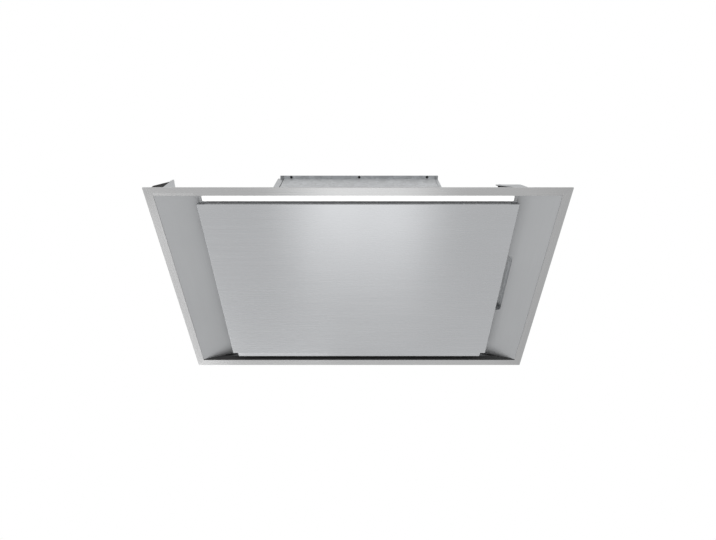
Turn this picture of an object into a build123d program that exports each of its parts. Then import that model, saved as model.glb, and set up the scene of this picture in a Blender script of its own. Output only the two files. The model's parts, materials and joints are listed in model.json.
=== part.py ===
from build123d import *
from math import cos, radians, sin
import os

# Ceiling range hood: a 900 x 500 mm frame that lies against the ceiling, with everything else
# recessed above it. Millimetres. Z = 0 is the ceiling plane, on which the frame's border rests,
# X runs along the long side, -Y is the long side with the light, +Z goes up into the ceiling.

# ---- driving dimensions ----
hood_width = 900.0
hood_depth = 500.0
overall_height = 299.0
border_thickness = 2.5  # the frame's folded border, below the ceiling plane
near_border = 17.5
far_border = 19.0
side_border = 18.5
sheet = 1.0  # body sheet steel
frame_sheet = 1.2  # stainless sheet of the frame and its plates
duct_radius = 74.5  # outside of the collar, for a 150 mm duct

face_z = -border_thickness  # underside of the frame, the lowest plane
top_z = face_z + overall_height

# ---- the frame's opening ----
open_x = hood_width / 2 - side_border
open_near = near_border - hood_depth / 2
open_far = hood_depth / 2 - far_border
open_mid = (open_near + open_far) / 2
open_depth = open_far - open_near
upstand_height = 12.0
lip_start = 347.0  # the near border is bevelled from here out to the corners
lip_width = 6.0
lip_rise = 0.7
play = 0.2  # room left round what is set in between the walls
past = 1.0  # how far a cut runs on beyond what it cuts
guide_sheet = 1.5  # the black strip on the far wall
inner_near = open_near + play  # plates, light and deck lie between the near wall
inner_far = open_far - guide_sheet - play  # and the black strip
inner_mid = (inner_near + inner_far) / 2
inner_depth = inner_far - inner_near

# ---- sloped side plates ----
plate_foot_x = open_x
plate_foot_z = face_z + 0.8
plate_hem_top = 9.0
plate_bend_x = 348.0
ledge_x = 322.0
ledge_z = 26.1
slot_near_x = 348.5
slot_far_x = 366.5
slot_half_length = 78.5

# ---- centre panel ----
panel_half_width = 345.0
panel_near = -214.0
panel_far = 205.0
panel_flange = 14.0
lip_end_y = 219.0
lip_end_z = 0.5
lip_half_width = 332.0
hinge_x = -336.0
hinge_z = 5.5
hinge_offsets = {"near": -150.0, "far": 150.0}
pin_radius = 2.5
running_clearance = 0.05
tray_gap = 0.3
tray_top = face_z + panel_flange - 0.5

# ---- filter deck and filters ----
deck_half_width = 344.0
deck_z = ledge_z + frame_sheet
filter_pitch = 214.0
filter_width = 204.0
filter_depth = 378.0
filter_rail = 10.0
filter_height = 10.0
filter_z = deck_z - 2.8
aperture_gap = 1.5

# ---- body and motor housing ----
skirt_x = open_x + frame_sheet + sheet
skirt_near = open_near - frame_sheet - sheet
skirt_far = open_far + frame_sheet + sheet
skirt_top = 37.5
plateau_z = 101.5
plateau_x = 420.0
plateau_y = 210.0
intake_x = 200.0
intake_y = 160.0
rod_x = 300.0
rod_y = 190.0
rod_hole = 4.5
housing_x = 220.0
wall_y = 179.0
lid_sheet = 1.2
lid_lip = 8.8
lid_y = 187.0  # the lid and the walls' flanges stand out at the near and far sides
front_hem = 6.5  # fold that stands out at the near left corner
collar_wall = 1.5
duct_z = 203.5

# ---- blower ----
fan_x = 30.0
fan_z = 193.5
fan_radius = 70.0
scroll_start = 78.0
scroll_end = 90.0
scroll_half = 62.0
tongue_angle = 215.0
top_angle = 450.0  # a full turn and a quarter from +X: straight above the fan
outlet_x = 3.0 - housing_x

os.makedirs("parts", exist_ok=True)


def save(piece, name):
    """Label one finished piece and write it to its own file."""
    piece.label = name
    export_step(piece, f"parts/{name}.step")


def xz_at(y):
    """An upright plane facing the near side, at the given y."""
    return Plane.XZ.offset(-y)


def box_between(corner, opposite, mode=Mode.ADD):
    """A box between two opposite corners."""
    size = [abs(b - a) for a, b in zip(corner, opposite)]
    with Locations(tuple((a + b) / 2 for a, b in zip(corner, opposite))):
        Box(*size, mode=mode)


def folded_sheet(plane, points, thickness, side):
    """The closed section of a bent sheet, drawn from one of its faces."""
    with BuildSketch(plane) as section:
        with BuildLine():
            Polyline(*points)
            offset(amount=thickness, side=side)
        make_face()
    return section.sketch


# ======== screws round the skirt ========

screw_radius = 2.0
screw_z = 5.0
skirt_screw_x = (-250.0, 0.0, 250.0)
skirt_screw_y = (-150.0, 0.0, 150.0)
skirt_screws = [((side * skirt_x, y, screw_z), (side, 0, 0)) for side in (-1, 1) for y in skirt_screw_y]
skirt_screws += [((x, skirt_near, screw_z), (0, -1, 0)) for x in skirt_screw_x]
skirt_screws += [((x, skirt_far, screw_z), (0, 1, 0)) for x in skirt_screw_x]


def drill_skirt_holes():
    """The holes that join the body's skirt to the frame's upstand."""
    for place, outward in skirt_screws:
        with Locations(Plane(place, z_dir=outward)):
            Cylinder(screw_radius, 3 * (sheet + frame_sheet), mode=Mode.SUBTRACT)


def press_bead(plane, length, width, thickness, depth, rotation=0):
    """A stiffening bead pressed out of a sheet, from the plane on the side where it stands proud."""
    with BuildSketch(plane) as outer:
        SlotOverall(length, width, rotation=rotation)
    with BuildSketch(plane.offset(-thickness)) as inner:
        SlotOverall(length - 2 * thickness, width - 2 * thickness, rotation=rotation)
    extrude(outer.sketch, amount=depth)
    extrude(inner.sketch, amount=depth, mode=Mode.SUBTRACT)


# ======== frame, plates and light ========


def build_outer_frame():
    corner_radius = 1.5
    rim_chamfer = 0.5
    margin = 2.0  # tells the border's own rim from the edges of the opening
    with BuildPart() as outer_frame:
        with BuildSketch(Plane.XY.offset(face_z)):
            RectangleRounded(hood_width, hood_depth, corner_radius)
        extrude(amount=border_thickness)
        with BuildSketch(Plane.XY.offset(face_z)):
            with Locations((0, open_mid)):
                Rectangle(2 * (open_x + frame_sheet), open_depth + 2 * frame_sheet)
        extrude(amount=upstand_height)
        with BuildSketch(Plane.XY.offset(face_z)):
            with Locations((0, open_mid)):
                Rectangle(2 * open_x, open_depth)
        extrude(amount=upstand_height, mode=Mode.SUBTRACT)
        lower_rim = outer_frame.edges().group_by(Axis.Z)[0].filter_by(
            lambda e: abs(e.center().X) > open_x + margin or abs(e.center().Y) > open_far + margin
        )
        chamfer(lower_rim, rim_chamfer)
        for x in (-open_x, lip_start):
            # bevelled inner lip of the near border, outside the light
            with BuildSketch(Plane.YZ.offset(x)):
                with BuildLine():
                    Polyline(
                        (open_near - lip_width, face_z),
                        (open_near, face_z),
                        (open_near, face_z + lip_rise),
                        close=True,
                    )
                make_face()
            extrude(amount=open_x - lip_start, mode=Mode.SUBTRACT)
        drill_skirt_holes()
    save(outer_frame.part, "outer_frame")


def build_side_plate(name, side):
    """A sloped plate from the border up to a flat ledge; side is -1 for left, 1 for right."""
    section = [
        (side * plate_foot_x, plate_hem_top),
        (side * plate_foot_x, plate_foot_z),
        (side * plate_bend_x, ledge_z),
        (side * ledge_x, ledge_z),
    ]
    with BuildPart() as plate:
        inner_side = Side.RIGHT if side > 0 else Side.LEFT
        bent = folded_sheet(xz_at(inner_mid), section, frame_sheet, inner_side)
        extrude(bent, amount=inner_depth / 2, both=True)
        if side > 0:
            # finger slot beside the middle of the panel's free edge
            with BuildSketch(Plane.XY):
                with Locations(((slot_near_x + slot_far_x) / 2, 0)):
                    SlotOverall(2 * slot_half_length, slot_far_x - slot_near_x, rotation=90)
            extrude(amount=ledge_z + frame_sheet + past, mode=Mode.SUBTRACT)
    save(plate.part, name)


def build_grip_cup():
    """A closed cup on top of the right plate, over the finger slot."""
    wall = 1.2
    seat_gap = 0.1
    slope = (ledge_z - plate_foot_z) / (plate_foot_x - plate_bend_x)
    inner_x = plate_bend_x - 1.0
    outer_x = slot_far_x + 3.0
    cup_top = 37.0
    end = slot_half_length + 2.5
    foot = deck_z + seat_gap
    with BuildPart() as cup:
        with BuildSketch(xz_at(0)):
            with BuildLine():
                Polyline(
                    (inner_x, foot),
                    (plate_bend_x, foot),
                    (outer_x, foot - slope * (outer_x - plate_bend_x)),
                    (outer_x, cup_top),
                    (inner_x, cup_top),
                    close=True,
                )
            make_face()
        extrude(amount=end, both=True)
        box_between(
            (inner_x + wall, wall - end, 0),
            (outer_x - wall, end - wall, cup_top - wall),
            Mode.SUBTRACT,
        )
    save(cup.part, "grip_cup")


def build_far_air_guide():
    """The black strip that lines the far wall of the opening."""
    guide_top = 15.0
    guide_foot = face_z + 1.2
    half_length = open_x - guide_sheet
    return_half = ledge_x - 2.0
    return_depth = 4.0
    with BuildPart() as guide:
        box_between((-half_length, open_far - guide_sheet, guide_foot), (half_length, open_far, guide_top))
        # stiffening return between the plates
        box_between(
            (-return_half, open_far - return_depth, guide_top - guide_sheet),
            (return_half, open_far, guide_top),
        )
    save(guide.part, "far_air_guide")


light_half = 331.0
light_near = inner_near
light_far = light_near + 11.6
light_mid = (light_near + light_far) / 2
light_wall = 1.2
light_top = face_z + 26.0
lens_rim = 1.3


def build_light_housing():
    top_radius = 1.0
    bracket_x = 240.0
    bracket_half = 15.0
    bracket_inset = 2.0
    lens_z = face_z + lens_rim
    with BuildPart() as housing:
        box_between((-light_half, light_near, lens_z), (light_half, light_far, light_top))
        fillet(housing.edges().filter_by(Axis.X).group_by(Axis.Z)[-1], top_radius)
        box_between(
            (light_wall - light_half, light_near + light_wall, lens_z),
            (light_half - light_wall, light_far - light_wall, light_top - light_wall),
            Mode.SUBTRACT,
        )
        for x in (-bracket_x, bracket_x):
            # brackets that hang the light from the deck
            box_between(
                (x - bracket_half, light_near + bracket_inset, light_top),
                (x + bracket_half, light_far - bracket_inset, deck_z),
            )
    save(housing.part, "light_housing")


def build_light_diffuser():
    rim_length = 2 * light_half - 3.0
    rim_width = 10.8
    rim_corner = 2.5
    core_length = 2 * light_half - 8.0
    core_width = 8.4
    core_height = 4.0
    edge_radius = 0.5
    with BuildPart() as diffuser:
        with BuildSketch(Plane.XY.offset(face_z)):
            with Locations((0, light_mid)):
                RectangleRounded(rim_length, rim_width, rim_corner)
        extrude(amount=lens_rim)
        with BuildSketch(Plane.XY.offset(face_z + lens_rim)):
            with Locations((0, light_mid)):
                Rectangle(core_length, core_width)
        extrude(amount=core_height)
        fillet(diffuser.edges().group_by(Axis.Z)[0], edge_radius)
    save(diffuser.part, "light_diffuser")


def build_led_board():
    board_half = 318.0
    board_width = 8.4
    board_thickness = 1.7
    led_count = 30
    led_pitch = 21.0
    led_size = 5.0
    led_height = 1.2
    board_top = light_top - light_wall
    with BuildPart() as board:
        with BuildSketch(Plane.XY.offset(board_top - board_thickness)):
            with Locations((0, light_mid)):
                Rectangle(2 * board_half, board_width)
        extrude(amount=board_thickness)
        with BuildSketch(Plane.XY.offset(board_top - board_thickness)):
            with Locations((0, light_mid)):
                with GridLocations(led_pitch, 1, led_count, 1):
                    Rectangle(led_size, led_size)
        extrude(amount=-led_height)
    save(board.part, "led_board")


# ======== centre panel, its hinges and catches ========


flange_top = face_z + panel_flange


def build_centre_panel():
    notch_half = 8.0
    notch_z = face_z + 1.6
    bend_radius = 0.8
    section = [
        (panel_near, flange_top),
        (panel_near, face_z),
        (panel_far, face_z),
        (lip_end_y, lip_end_z),
    ]
    with BuildPart() as panel:
        extrude(folded_sheet(Plane.YZ, section, sheet, Side.LEFT), amount=panel_half_width, both=True)
        for side in (-1, 1):
            edge = side * panel_half_width
            box_between((edge, panel_near, face_z), (edge - side * sheet, panel_far, flange_top))
            # corner relief beside the far lip
            box_between(
                (edge + side * past, panel_far, face_z - past),
                (side * lip_half_width, lip_end_y + past, flange_top),
                Mode.SUBTRACT,
            )
        for y in hinge_offsets.values():
            # notch for the hinge arm
            box_between(
                (-panel_half_width - past, y - notch_half, notch_z),
                (-panel_half_width + sheet + past, y + notch_half, flange_top + past),
                Mode.SUBTRACT,
            )
        bottom = panel.edges().group_by(Axis.Z)[0].filter_by(
            lambda e: e.center().Y < panel_near + sheet or abs(e.center().X) > panel_half_width - sheet
        )
        fillet(bottom, bend_radius)
    save(panel.part, "centre_panel")


def build_back_tray():
    """A shallow tray on the panel's back, open towards the panel."""
    left = -318.0
    right = panel_half_width - sheet - tray_gap
    near = panel_near + sheet + tray_gap
    far = panel_far - 2.0
    corner_radius = 3.0
    bead_pitch = 150.0
    bead_count = 4
    bead_length = 330.0
    bead_width = 16.0
    bead_depth = 0.5
    with BuildPart() as tray:
        box_between((left, near, face_z + sheet), (right, far, tray_top))
        fillet(tray.edges().filter_by(Axis.Z), corner_radius)
        box_between(
            (left + sheet, near + sheet, face_z),
            (right - sheet, far - sheet, tray_top - sheet),
            Mode.SUBTRACT,
        )
        with BuildSketch(Plane.XY.offset(tray_top)):
            with GridLocations(bead_pitch, 1, bead_count, 1):
                SlotOverall(bead_length, bead_width, rotation=90)
        extrude(amount=-bead_depth, mode=Mode.SUBTRACT)
    save(tray.part, "panel_back_tray")


def build_panel_hinge(which):
    """One hinge: an arm fixed under the left ledge and a two-eared leaf on the panel."""
    y = hinge_offsets[which]
    plate = 1.5
    plate_half = 14.0
    ear_radius = 5.0
    ear_offset = 5.6
    ear_thickness = 2.0
    leaf_floor = face_z + sheet
    with BuildPart() as leaf:
        box_between(
            (hinge_x - ear_radius - 1, y - plate_half, leaf_floor),
            (hinge_x + 16, y + plate_half, leaf_floor + plate),
        )
        for ear in (y - ear_offset, y + ear_offset):
            with BuildSketch(xz_at(ear)):
                with BuildLine():
                    Polyline(
                        (hinge_x - ear_radius, leaf_floor),
                        (hinge_x - ear_radius, hinge_z),
                        (hinge_x + ear_radius, hinge_z),
                        (hinge_x + ear_radius + 4, leaf_floor),
                        close=True,
                    )
                make_face()
                with Locations((hinge_x, hinge_z)):
                    Circle(ear_radius)
                    Circle(pin_radius + running_clearance, mode=Mode.SUBTRACT)
            extrude(amount=ear_thickness / 2, both=True)
    save(leaf.part, f"hinge_leaf_{which}")

    arm_radius = 4.0
    arm_thickness = 8.0
    waist_z = 18.0
    plate_z = ledge_z - plate
    with BuildPart() as arm:
        box_between((hinge_x - 7, y - plate_half, plate_z), (hinge_x + 12, y + plate_half, ledge_z))
        with BuildSketch(xz_at(y)):
            with BuildLine():
                Polyline(
                    (hinge_x - arm_radius, hinge_z),
                    (hinge_x - arm_radius, waist_z),
                    (hinge_x - arm_radius - 2, plate_z),
                    (hinge_x + arm_radius + 4, plate_z),
                    (hinge_x + arm_radius, waist_z),
                    (hinge_x + arm_radius, hinge_z),
                    close=True,
                )
            make_face()
            with Locations((hinge_x, hinge_z)):
                Circle(arm_radius)
                Circle(pin_radius, mode=Mode.SUBTRACT)
        extrude(amount=arm_thickness / 2, both=True)
    save(arm.part, f"hinge_arm_{which}")


def build_hinge_pins():
    pin_length = 16.0
    with BuildPart() as pins:
        for y in hinge_offsets.values():
            with Locations(Plane((hinge_x, y, hinge_z), z_dir=(0, 1, 0))):
                Cylinder(pin_radius, pin_length)
    save(pins.part, "hinge_pins")


catch_x = 332.0
catch_y = 120.0
catch_places = [(catch_x, -catch_y), (catch_x, catch_y)]
ball_radius = 3.0
ball_z = tray_top + 7.0


def build_catch_studs():
    base_radius = 5.0
    base_height = 1.5
    neck_radius = 1.8
    with BuildPart() as studs:
        with BuildSketch(Plane.XY.offset(tray_top)):
            with Locations(*catch_places):
                Circle(base_radius)
        extrude(amount=base_height)
        with BuildSketch(Plane.XY.offset(tray_top)):
            with Locations(*catch_places):
                Circle(neck_radius)
        extrude(amount=ball_z - tray_top)
        with Locations(*[(x, y, ball_z) for x, y in catch_places]):
            Sphere(ball_radius)
    save(studs.part, "catch_studs")


def build_catch_clips():
    """Spring clips under the right ledge: two bowed leaves that close round each ball."""
    mouth = ball_radius + 0.4
    clip_width = 12.0
    with BuildPart() as clips:
        for x, y in catch_places:
            with BuildSketch(xz_at(y)):
                for side in (-1, 1):
                    with BuildLine():
                        Polyline(
                            (x + side * mouth, ledge_z),
                            (x + side * (mouth + 1.5), ball_z + 1),
                            (x + side * mouth, ball_z - 2),
                            (x + side * (mouth + 2.5), ball_z - 4.5),
                            (x + side * (mouth + 3.5), ball_z - 4.5),
                            (x + side * (mouth + 1), ball_z - 2),
                            (x + side * (mouth + 2.5), ball_z + 1),
                            (x + side * (mouth + 1.2), ledge_z),
                            close=True,
                        )
                    make_face()
                with Locations((x, ledge_z - sheet / 2)):
                    Rectangle(2 * mouth + 3, sheet)
            extrude(amount=clip_width / 2, both=True)
    save(clips.part, "catch_clips")


# ======== filter deck, filters and latches ========

filter_places = [-filter_pitch, 0.0, filter_pitch]
hook_reach = 5.5
latch_travel = 5.0


def build_filter_deck():
    with BuildPart() as deck:
        with BuildSketch(Plane.XY.offset(deck_z)):
            with Locations((0, inner_mid)):
                Rectangle(2 * deck_half_width, inner_depth)
            with Locations(*[(x, 0) for x in filter_places]):
                Rectangle(
                    filter_width + 2 * aperture_gap,
                    filter_depth + 2 * aperture_gap,
                    mode=Mode.SUBTRACT,
                )
        extrude(amount=frame_sheet)
    save(deck.part, "filter_deck")


def build_filter(number, x):
    """A metal grease filter: a channel frame, a perforated core and a sliding latch."""
    half_d = filter_depth / 2
    deck_top = deck_z + frame_sheet
    corner_radius = 4.0
    groove_depth = 1.5
    window_w = filter_width - 2 * filter_rail
    window_d = filter_depth - 2 * filter_rail
    core_w = window_w + 2 * groove_depth
    core_d = window_d + 2 * groove_depth
    core_z = filter_z + 3.0
    core_height = 4.5
    notch_half = 15.0
    notch_depth = 7.3
    hook_x = 60.0
    hook_half = 12.0
    hook_thickness = 1.5
    with BuildPart() as frame:
        with BuildSketch(Plane.XY.offset(filter_z)):
            with Locations((x, 0)):
                RectangleRounded(filter_width, filter_depth, corner_radius)
                Rectangle(window_w, window_d, mode=Mode.SUBTRACT)
        extrude(amount=filter_height)
        # groove that holds the core
        box_between(
            (x - core_w / 2, -core_d / 2, core_z),
            (x + core_w / 2, core_d / 2, core_z + core_height),
            Mode.SUBTRACT,
        )
        # notch for the latch's upright
        box_between(
            (x - notch_half, -half_d - past, filter_z - past),
            (x + notch_half, -half_d + notch_depth, filter_z + filter_height + past),
            Mode.SUBTRACT,
        )
        for hook in (x - hook_x, x + hook_x):
            # hooks that rest on the deck's far edge
            box_between(
                (hook - hook_half, half_d - 6, deck_top),
                (hook + hook_half, half_d + hook_reach, deck_top + hook_thickness),
            )
    save(frame.part, f"filter_frame_{number}")

    hole_size = 9.0
    hole_pitch_x = 19.0
    hole_pitch_y = 20.0
    hole_columns = 9
    hole_rows = 17

    with BuildPart() as core:
        with BuildSketch(Plane.XY.offset(core_z)):
            with Locations((x, 0)):
                Rectangle(core_w, core_d)
                with GridLocations(hole_pitch_x, hole_pitch_y, hole_columns, hole_rows):
                    Rectangle(hole_size, hole_size, rotation=45, mode=Mode.SUBTRACT)
        extrude(amount=core_height)
    save(core.part, f"filter_core_{number}")

    plate_top = filter_z - 0.3
    plate_half = 22.0
    plate_depth = 26.0
    plate_thickness = 2.5
    grip_half = 18.0
    grip_drop = 8.5
    grip_near = 21.0
    grip_far = 24.0
    tongue_half = 13.0
    tongue_reach = 6.3
    upright_thickness = 1.5
    upright = -half_d + 0.5
    tongue_low = deck_top + 0.4
    tongue_high = deck_top + 2.0
    with BuildPart() as latch:
        box_between(
            (x - plate_half, upright, plate_top - plate_thickness),
            (x + plate_half, upright + plate_depth, plate_top),
        )
        # finger grip that hangs from the plate
        box_between(
            (x - grip_half, upright + grip_near, plate_top - grip_drop),
            (x + grip_half, upright + grip_far, plate_top),
        )
        fillet(latch.edges().filter_by(Axis.Y).group_by(Axis.Z)[0], 2)
        # upright through the notch, with a tongue that rests on the deck's near edge
        box_between(
            (x - tongue_half, upright, plate_top),
            (x + tongue_half, upright + upright_thickness, tongue_high),
        )
        box_between(
            (x - tongue_half, upright - tongue_reach, tongue_low),
            (x + tongue_half, upright + upright_thickness, tongue_high),
        )
    save(latch.part, f"filter_latch_{number}")


# ======== body ========


def body_envelope(inset):
    """Solid envelope of the body, inset on every side by a sheet's thickness."""
    middle = (skirt_near + skirt_far) / 2
    depth = skirt_far - skirt_near
    with BuildPart() as envelope:
        with BuildSketch(Plane.XY):
            with Locations((0, middle)):
                Rectangle(2 * (skirt_x - inset), depth - 2 * inset)
        extrude(amount=skirt_top)
        with BuildSketch(Plane.XY.offset(skirt_top)):
            with Locations((0, middle)):
                Rectangle(2 * (skirt_x - inset), depth - 2 * inset)
        with BuildSketch(Plane.XY.offset(plateau_z - inset)):
            Rectangle(2 * (plateau_x - inset), 2 * (plateau_y - inset))
        loft()
    return envelope.part


def build_canopy_body():
    outside = body_envelope(0)
    hollow = body_envelope(sheet)
    intake_corner = 12.0
    bead_places = (-390.0, -330.0, -260.0, 255.0)
    bead_length = 290.0
    bead_width = 16.0
    bead_rise = 1.5
    with BuildPart() as body:
        add(outside)
        add(hollow, mode=Mode.SUBTRACT)
        with BuildSketch(Plane.XY.offset(plateau_z - sheet - past)):
            RectangleRounded(2 * intake_x, 2 * intake_y, intake_corner)
            with GridLocations(2 * rod_x, 2 * rod_y, 2, 2):
                Circle(rod_hole)
        extrude(amount=sheet + 2 * past, mode=Mode.SUBTRACT)
        for x in bead_places:
            press_bead(Plane((x, 0, plateau_z)), bead_length, bead_width, sheet, bead_rise, rotation=90)
        drill_skirt_holes()
    save(body.part, "canopy_body")


def screw(place, outward, reach, shank=screw_radius, head=3.5, height=2.2):
    """A pan-head screw standing on a face, its head outside and its shank inside."""
    crown_radius = 0.9
    plane = Plane(place, z_dir=outward)
    with BuildSketch(plane) as shank_circle:
        Circle(shank)
    with BuildSketch(plane) as head_circle:
        Circle(head)
    extrude(shank_circle.sketch, amount=-reach)
    extrude(head_circle.sketch, amount=height)
    crown = faces(Select.LAST).sort_by(Axis(plane.origin, plane.z_dir))[-1]
    fillet(crown.edges(), crown_radius)


def build_canopy_screws():
    with BuildPart() as screws:
        for place, outward in skirt_screws:
            screw(place, outward, sheet + frame_sheet)
    save(screws.part, "canopy_screws")


# ======== motor housing ========

wall_x = housing_x - lid_sheet
walls_top = top_z - lid_sheet
flange_z = walls_top - sheet  # underside of the flanges that carry the lid
front_half = 211.0
front_left = 1.5 - front_half
front_right = front_half - 0.3
front_y = 0.5 - wall_y  # the service front sits back from the near wall
lid_screw_x = (-189.0, 0.0, 189.0)
lid_screw_y = 183.4
wall_middle = (plateau_z + walls_top) / 2
wall_bead_length = 140.0
wall_bead_width = 14.0
wall_bead_rise = 1.0


def drill_lid_holes(side):
    """The holes for the lid's screws at the near (-1) or far (1) side."""
    with Locations(*[(x, side * lid_screw_y, walls_top) for x in lid_screw_x]):
        Cylinder(screw_radius, 2 * (lid_sheet + past), mode=Mode.SUBTRACT)


def wall_bead(place, outward):
    """An upright bead in a wall of the housing."""
    wall = Plane((*place, wall_middle), x_dir=(0, 0, 1), z_dir=outward)
    press_bead(wall, wall_bead_length, wall_bead_width, sheet, wall_bead_rise)


def build_motor_housing():
    """The blower's box: open towards the canopy, the service front and the lid."""
    with BuildPart() as housing:
        box_between((-wall_x, -wall_y, plateau_z), (wall_x, wall_y, walls_top))
        box_between(
            (sheet - wall_x, sheet - wall_y, plateau_z + sheet),
            (wall_x - sheet, wall_y - sheet, walls_top + past),
            Mode.SUBTRACT,
        )
        # flanges that carry the lid
        box_between((-wall_x, wall_y, flange_z), (wall_x, lid_y, walls_top))
        for x in (-wall_x, wall_x):
            box_between((x, -wall_y, flange_z), (front_half if x > 0 else -front_half, -lid_y, walls_top))
        # intake through the floor
        box_between(
            (-intake_x, -intake_y, plateau_z - past),
            (intake_x, intake_y, plateau_z + sheet + past),
            Mode.SUBTRACT,
        )
        # service opening in the near wall
        box_between(
            (-front_half, -wall_y - past, plateau_z + sheet),
            (front_half, -wall_y + sheet + past, walls_top + past),
            Mode.SUBTRACT,
        )
        # hem at the near left corner
        box_between((-housing_x - front_hem, -wall_y, plateau_z), (-wall_x, sheet - wall_y, walls_top))
        with Locations(Plane((-wall_x, 0, duct_z), z_dir=(1, 0, 0))):
            Cylinder(duct_radius - collar_wall, 2 * (sheet + past), mode=Mode.SUBTRACT)
        drill_lid_holes(1)
        for x in (-130, 0, 130):
            wall_bead((x, wall_y), (0, 1, 0))
        for y in (-120, -40, 40, 120):
            wall_bead((wall_x, y), (1, 0, 0))
        for y in (-130, 130):
            wall_bead((-wall_x, y), (-1, 0, 0))
    save(housing.part, "motor_housing")


def build_housing_front():
    """The service front: a shallow pan with a flange under the lid."""
    pan_depth = 10.0
    with BuildPart() as front:
        box_between((front_left, front_y, plateau_z + sheet), (front_right, front_y + pan_depth, walls_top))
        box_between(
            (front_left + sheet, front_y + sheet, plateau_z + 2 * sheet),
            (front_right - sheet, front_y + pan_depth + past, walls_top + past),
            Mode.SUBTRACT,
        )
        box_between((front_left, front_y, flange_z), (front_right, -lid_y, walls_top))
        drill_lid_holes(-1)
    save(front.part, "housing_front")


def build_housing_lid():
    corner_radius = 2.0
    lip_half = wall_y - 4.0
    bead_places = (-150.0, -50.0, 50.0, 150.0)
    bead_length = 290.0
    bead_width = 18.0
    bead_depth = 1.5
    with BuildPart() as lid:
        with BuildSketch(Plane.XY.offset(walls_top)):
            RectangleRounded(2 * housing_x, 2 * lid_y, corner_radius)
        extrude(amount=lid_sheet)
        for side in (-1, 1):
            # lips over the left and right walls
            box_between((side * wall_x, -lip_half, top_z - lid_lip), (side * housing_x, lip_half, top_z))
            drill_lid_holes(side)
        for x in bead_places:
            under_lid = Plane((x, 0, walls_top), x_dir=(0, 1, 0), z_dir=(0, 0, -1))
            press_bead(under_lid, bead_length, bead_width, lid_sheet, bead_depth)
    save(lid.part, "housing_lid")


def build_housing_screws():
    head_radius = 3.6
    head_height = 3.0
    with BuildPart() as screws:
        for side in (-1, 1):
            for x in lid_screw_x:
                screw(
                    (x, side * lid_screw_y, flange_z),
                    (0, 0, -1),
                    sheet + lid_sheet,
                    head=head_radius,
                    height=head_height,
                )
    save(screws.part, "housing_screws")


# ======== blower ========


def spiral_point(angle, inset=0.0):
    """A point of the scroll's outline: its radius grows evenly from the tongue to the top."""
    grown = (angle - tongue_angle) / (top_angle - tongue_angle)
    radius = scroll_start + (scroll_end - scroll_start) * grown - inset
    return (fan_x + radius * cos(radians(angle)), fan_z + radius * sin(radians(angle)))


def scroll_face(inset):
    """The scroll's section: a spiral that opens into a straight outlet to the left."""
    steps = 10
    angles = [tongue_angle + (top_angle - tongue_angle) * i / steps for i in range(steps + 1)]
    tongue_x, tongue_z = spiral_point(tongue_angle)
    lower = tongue_z + inset
    mouth = outlet_x - inset
    outlet = [(mouth, fan_z + scroll_end - inset), (mouth, lower)]
    if inset:
        outlet.append((tongue_x, lower))
    with BuildSketch(xz_at(0)) as section:
        with BuildLine():
            wrap = Spline(*[spiral_point(a, inset) for a in angles])
            Polyline(wrap @ 1, *outlet, wrap @ 0)
        make_face()
    return section.sketch


def build_scroll(name, side):
    """Half of the scroll, split at the fan's middle; side is -1 for near, 1 for far."""
    wall = 2.0
    inlet_radius = fan_radius - 8.0
    foot_pitch = 80.0
    foot_half = 8.0
    foot_thickness = 2.0
    floor = plateau_z + sheet
    foot_top = fan_z - 66.0
    outer_y = side * scroll_half
    inner_y = side * (scroll_half - wall)
    foot_end = side * (intake_y + 8.0)
    with BuildPart() as half:
        extrude(scroll_face(0), amount=-side * scroll_half)
        extrude(scroll_face(wall), amount=-side * (scroll_half - wall), mode=Mode.SUBTRACT)
        with Locations(Plane((fan_x, outer_y, fan_z), z_dir=(0, 1, 0))):
            Cylinder(inlet_radius, 2 * (wall + past), mode=Mode.SUBTRACT)
        for x in (fan_x - foot_pitch / 2, fan_x + foot_pitch / 2):
            # feet that stand on the edge of the housing's floor
            box_between((x - foot_half, outer_y, floor), (x + foot_half, foot_end, floor + foot_thickness))
            box_between((x - foot_half, outer_y, floor), (x + foot_half, inner_y, foot_top))
    save(half.part, name)


def build_impeller():
    blade_count = 36
    blade_width = 7.5
    blade_sheet = 1.2
    blade_angle = 32.0
    half_length = 56.0
    ring = 3.0
    ring_width = 9.0
    disc_bore = 8.0
    disc_thickness = 2.0
    with BuildPart() as impeller:
        for y in (-half_length + ring / 2, half_length - ring / 2):
            with BuildSketch(xz_at(y)):
                with Locations((fan_x, fan_z)):
                    Circle(fan_radius)
                    Circle(fan_radius - ring_width, mode=Mode.SUBTRACT)
            extrude(amount=ring / 2, both=True)
        with BuildSketch(xz_at(0)):
            with Locations((fan_x, fan_z)):
                Circle(fan_radius)
                Circle(disc_bore, mode=Mode.SUBTRACT)
        extrude(amount=disc_thickness / 2, both=True)
        with BuildSketch(xz_at(0)):
            with Locations((fan_x, fan_z)):
                with PolarLocations(fan_radius - ring_width / 2 - 0.1, blade_count):
                    Rectangle(blade_width, blade_sheet, rotation=blade_angle)
        extrude(amount=half_length - ring, both=True)
    save(impeller.part, "impeller")


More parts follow.
